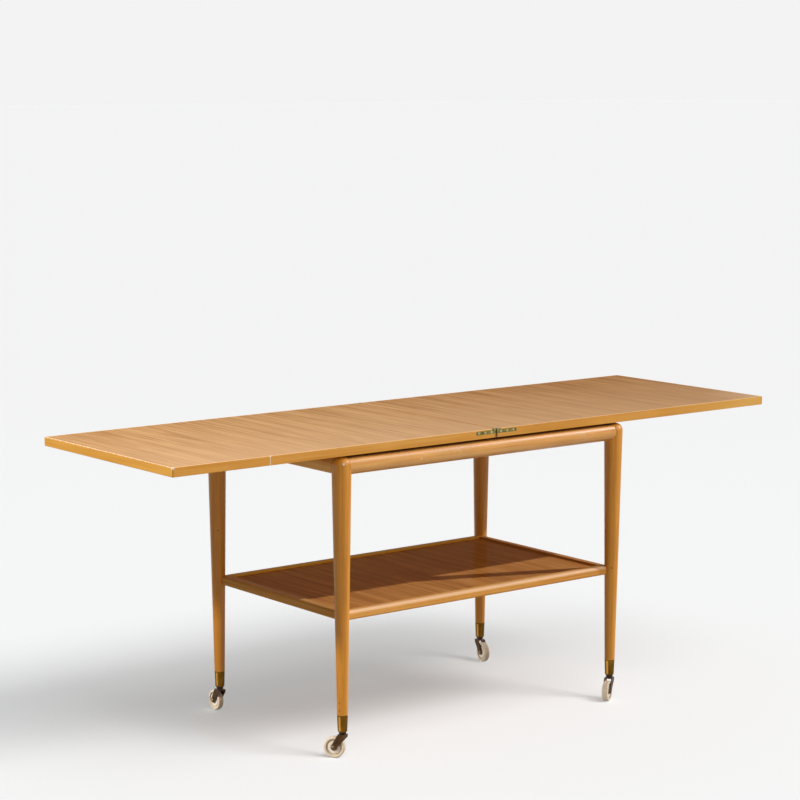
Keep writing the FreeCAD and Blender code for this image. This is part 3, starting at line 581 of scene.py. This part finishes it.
for side, sx in SIDES.items():
    places = [((sx * x, sy * (HALF_DEPTH - FLUSH), STRAP_HOLES_Z), (0, sy, 0))
              for sy in LONG_SIDES.values() for x in STRAP_HOLES_X]
    screws("hinge_screws_" + side, side + "_leaf", places, HINGE_SCREW)
places = [((FRAME_MIDDLE + x, sy * (GUIDE_FACE + FLUSH), GUIDE_HOLES_Z), (0, -sy, 0))
          for sy in LONG_SIDES.values() for x in GUIDE_HOLES_X]
screws("guide_screws", "frame", places, GUIDE_SCREW)
places = [((x, sy * RUNNER_HOLES_Y, RUNNER_FACE + FLUSH), (0, 0, -1))
          for sy in LONG_SIDES.values() for x in RUNNER_HOLES_X]
screws("runner_screws", "left_leaf", places, RUNNER_SCREW)


# ---------------------------------------------------------------- floor

PAPER_NEAR = (0.9, 0.9, 0.9, 1.0)
PAPER_FAR = (0.882, 0.875, 0.875, 1.0)
PAPER_BOUNCE = (0.38, 0.38, 0.38, 1.0)

bpy.ops.mesh.primitive_plane_add(size=160.0)
floor = bpy.context.object
floor.name = "floor"

# The paper is seen white, and fades into the backdrop from 1 to 5 m away, but it throws less
# light back at the trolley.
paper = Graph("floor_paper")
rays = paper.add("ShaderNodeLightPath").outputs
direct = paper.math("MAXIMUM", rays["Is Glossy Ray"], rays["Is Transmission Ray"])
direct = paper.math("MAXIMUM", rays["Is Camera Ray"], direct)
far = paper.span(paper.vector("LENGTH", paper.place), 1.0, 5.0)
shown_paper = paper.mix(far, PAPER_NEAR, PAPER_FAR)
paper.set(Base_Color=paper.mix(direct, PAPER_BOUNCE, shown_paper), Roughness=1.0,
          Specular_IOR_Level=0.0)
floor.data.materials.append(paper.material)


# ---------------------------------------------------------------- lamps

# Groups of pieces that a lamp can be kept to. The front one has the pieces at the front and
# both lippings, apart from the ferrules and forks.
lit_object = bpy.data.collections.new("lit_object")
lit_front = bpy.data.collections.new("lit_front")
lit_caster = bpy.data.collections.new("lit_caster")
lit_floor = bpy.data.collections.new("lit_floor")
for item in bpy.context.scene.objects:
    if item.type == "MESH":
        (lit_floor if item == floor else lit_object).objects.link(item)
for name, item in frame["nodes"].items():
    if ("front" in name or "lipping" in name) and not name.startswith(("ferrule", "caster_fork")):
        lit_front.objects.link(item)
    if name.startswith(("ferrule", "caster")):
        lit_caster.objects.link(item)


def sun(name, receivers, azimuth, height, strength, angle, colour=(1.0, 1.0, 1.0), shadow=True):
    """Distant lamp for one group of pieces. A large angle makes it a softbox."""
    data = bpy.data.lights.new(name, "SUN")
    data.energy = strength
    data.angle = math.radians(angle)
    data.color = colour
    data.use_shadow = shadow
    lamp = bpy.data.objects.new(name, data)
    bpy.context.scene.collection.objects.link(lamp)
    azimuth, height = math.radians(azimuth), math.radians(height)
    towards = Vector((math.cos(height) * math.cos(azimuth),
                      math.cos(height) * math.sin(azimuth), math.sin(height)))
    lamp.rotation_euler = towards.to_track_quat("Z", "Y").to_euler()
    lamp.light_linking.receiver_collection = receivers


COOL = (0.985, 1.0, 1.05)
WARM = (1.0, 0.93, 0.8)
FLOOR_WARM = (1.02, 1.005, 1.005)
FLOOR_COOL = (0.92, 1.0, 1.06)

sun("key", lit_object, azimuth=-22.0, height=33.0, strength=1.85, angle=1.2, colour=COOL)
sun("low_front", lit_object, azimuth=-80.0, height=16.0, strength=0.35, angle=40.0, colour=WARM)
sun("front", lit_front, azimuth=-75.0, height=38.0, strength=1.0, angle=30.0)
sun("low_left", lit_caster, azimuth=163.0, height=10.0, strength=1.6, angle=18.0)

# The floor has lamps of its own, because its shadow in the photo is softer than the shelf's.
sun("floor_key", lit_floor, azimuth=-60.0, height=44.0, strength=1.18, angle=24.0,
    colour=FLOOR_WARM)
sun("floor_soft", lit_floor, azimuth=-90.0, height=60.0, strength=0.83, angle=45.0,
    colour=FLOOR_WARM)
sun("floor_dome", lit_floor, azimuth=0.0, height=89.0, strength=0.26, angle=150.0,
    colour=FLOOR_WARM)
sun("floor_fill", lit_floor, azimuth=0.0, height=90.0, strength=0.98, angle=0.5,
    colour=FLOOR_COOL, shadow=False)

# A near lamp at the left, so the left leaf is brighter than the right one.
bulb = bpy.data.lights.new("left", "POINT")
bulb.energy = 424.0
bulb.shadow_soft_size = 0.14
left_lamp = bpy.data.objects.new("left", bulb)
left_lamp.location = (-3.00, 0.26, 2.82)
bpy.context.scene.collection.objects.link(left_lamp)
left_lamp.light_linking.receiver_collection = lit_object


# ---------------------------------------------------------------- backdrop

BACKDROP = ((1.0, 1.0, 1.0, 1.0), 0.896)    # colour and strength as the camera sees them
SKY = ((1.0, 0.95, 0.84, 1.0), 0.15)        # colour and strength of the light it gives

world = bpy.data.worlds.new("studio")
bpy.context.scene.world = world
world.use_nodes = True
tree = world.node_tree
tree.nodes.clear()


def background(colour, strength):
    node = tree.nodes.new("ShaderNodeBackground")
    node.inputs["Color"].default_value = colour
    node.inputs["Strength"].default_value = strength
    return node.outputs[0]


path = tree.nodes.new("ShaderNodeLightPath")
shown = path.outputs["Is Camera Ray"]
for ray in ("Is Glossy Ray", "Is Transmission Ray"):
    either = tree.nodes.new("ShaderNodeMath")
    either.operation = "MAXIMUM"
    tree.links.new(shown, either.inputs[0])
    tree.links.new(path.outputs[ray], either.inputs[1])
    shown = either.outputs[0]
blend = tree.nodes.new("ShaderNodeMixShader")
tree.links.new(shown, blend.inputs[0])
tree.links.new(background(*SKY), blend.inputs[1])
tree.links.new(background(*BACKDROP), blend.inputs[2])
out = tree.nodes.new("ShaderNodeOutputWorld")
tree.links.new(blend.outputs[0], out.inputs["Surface"])


# ---------------------------------------------------------------- camera, solved from the photo

YAW = math.radians(37.897)      # to the right of straight at the front
PITCH = math.radians(10.117)    # down

camera_data = bpy.data.cameras.new("camera")
camera_data.sensor_width = 36.0
camera_data.lens = 104.79
camera_data.shift_x = 0.01145
camera_data.shift_y = 0.10899
camera_data.clip_end = 300.0
camera = bpy.data.objects.new("camera", camera_data)
bpy.context.scene.collection.objects.link(camera)
camera.location = (-2.93145, -3.65521, 1.29199)
turn = Matrix.Rotation(-YAW, 3, "Z")
tilt = Matrix.Rotation(math.pi / 2 - PITCH, 3, "X")
camera.rotation_euler = (turn @ tilt).to_euler()
bpy.context.scene.camera = camera

bpy.context.scene.view_settings.view_transform = "Standard"
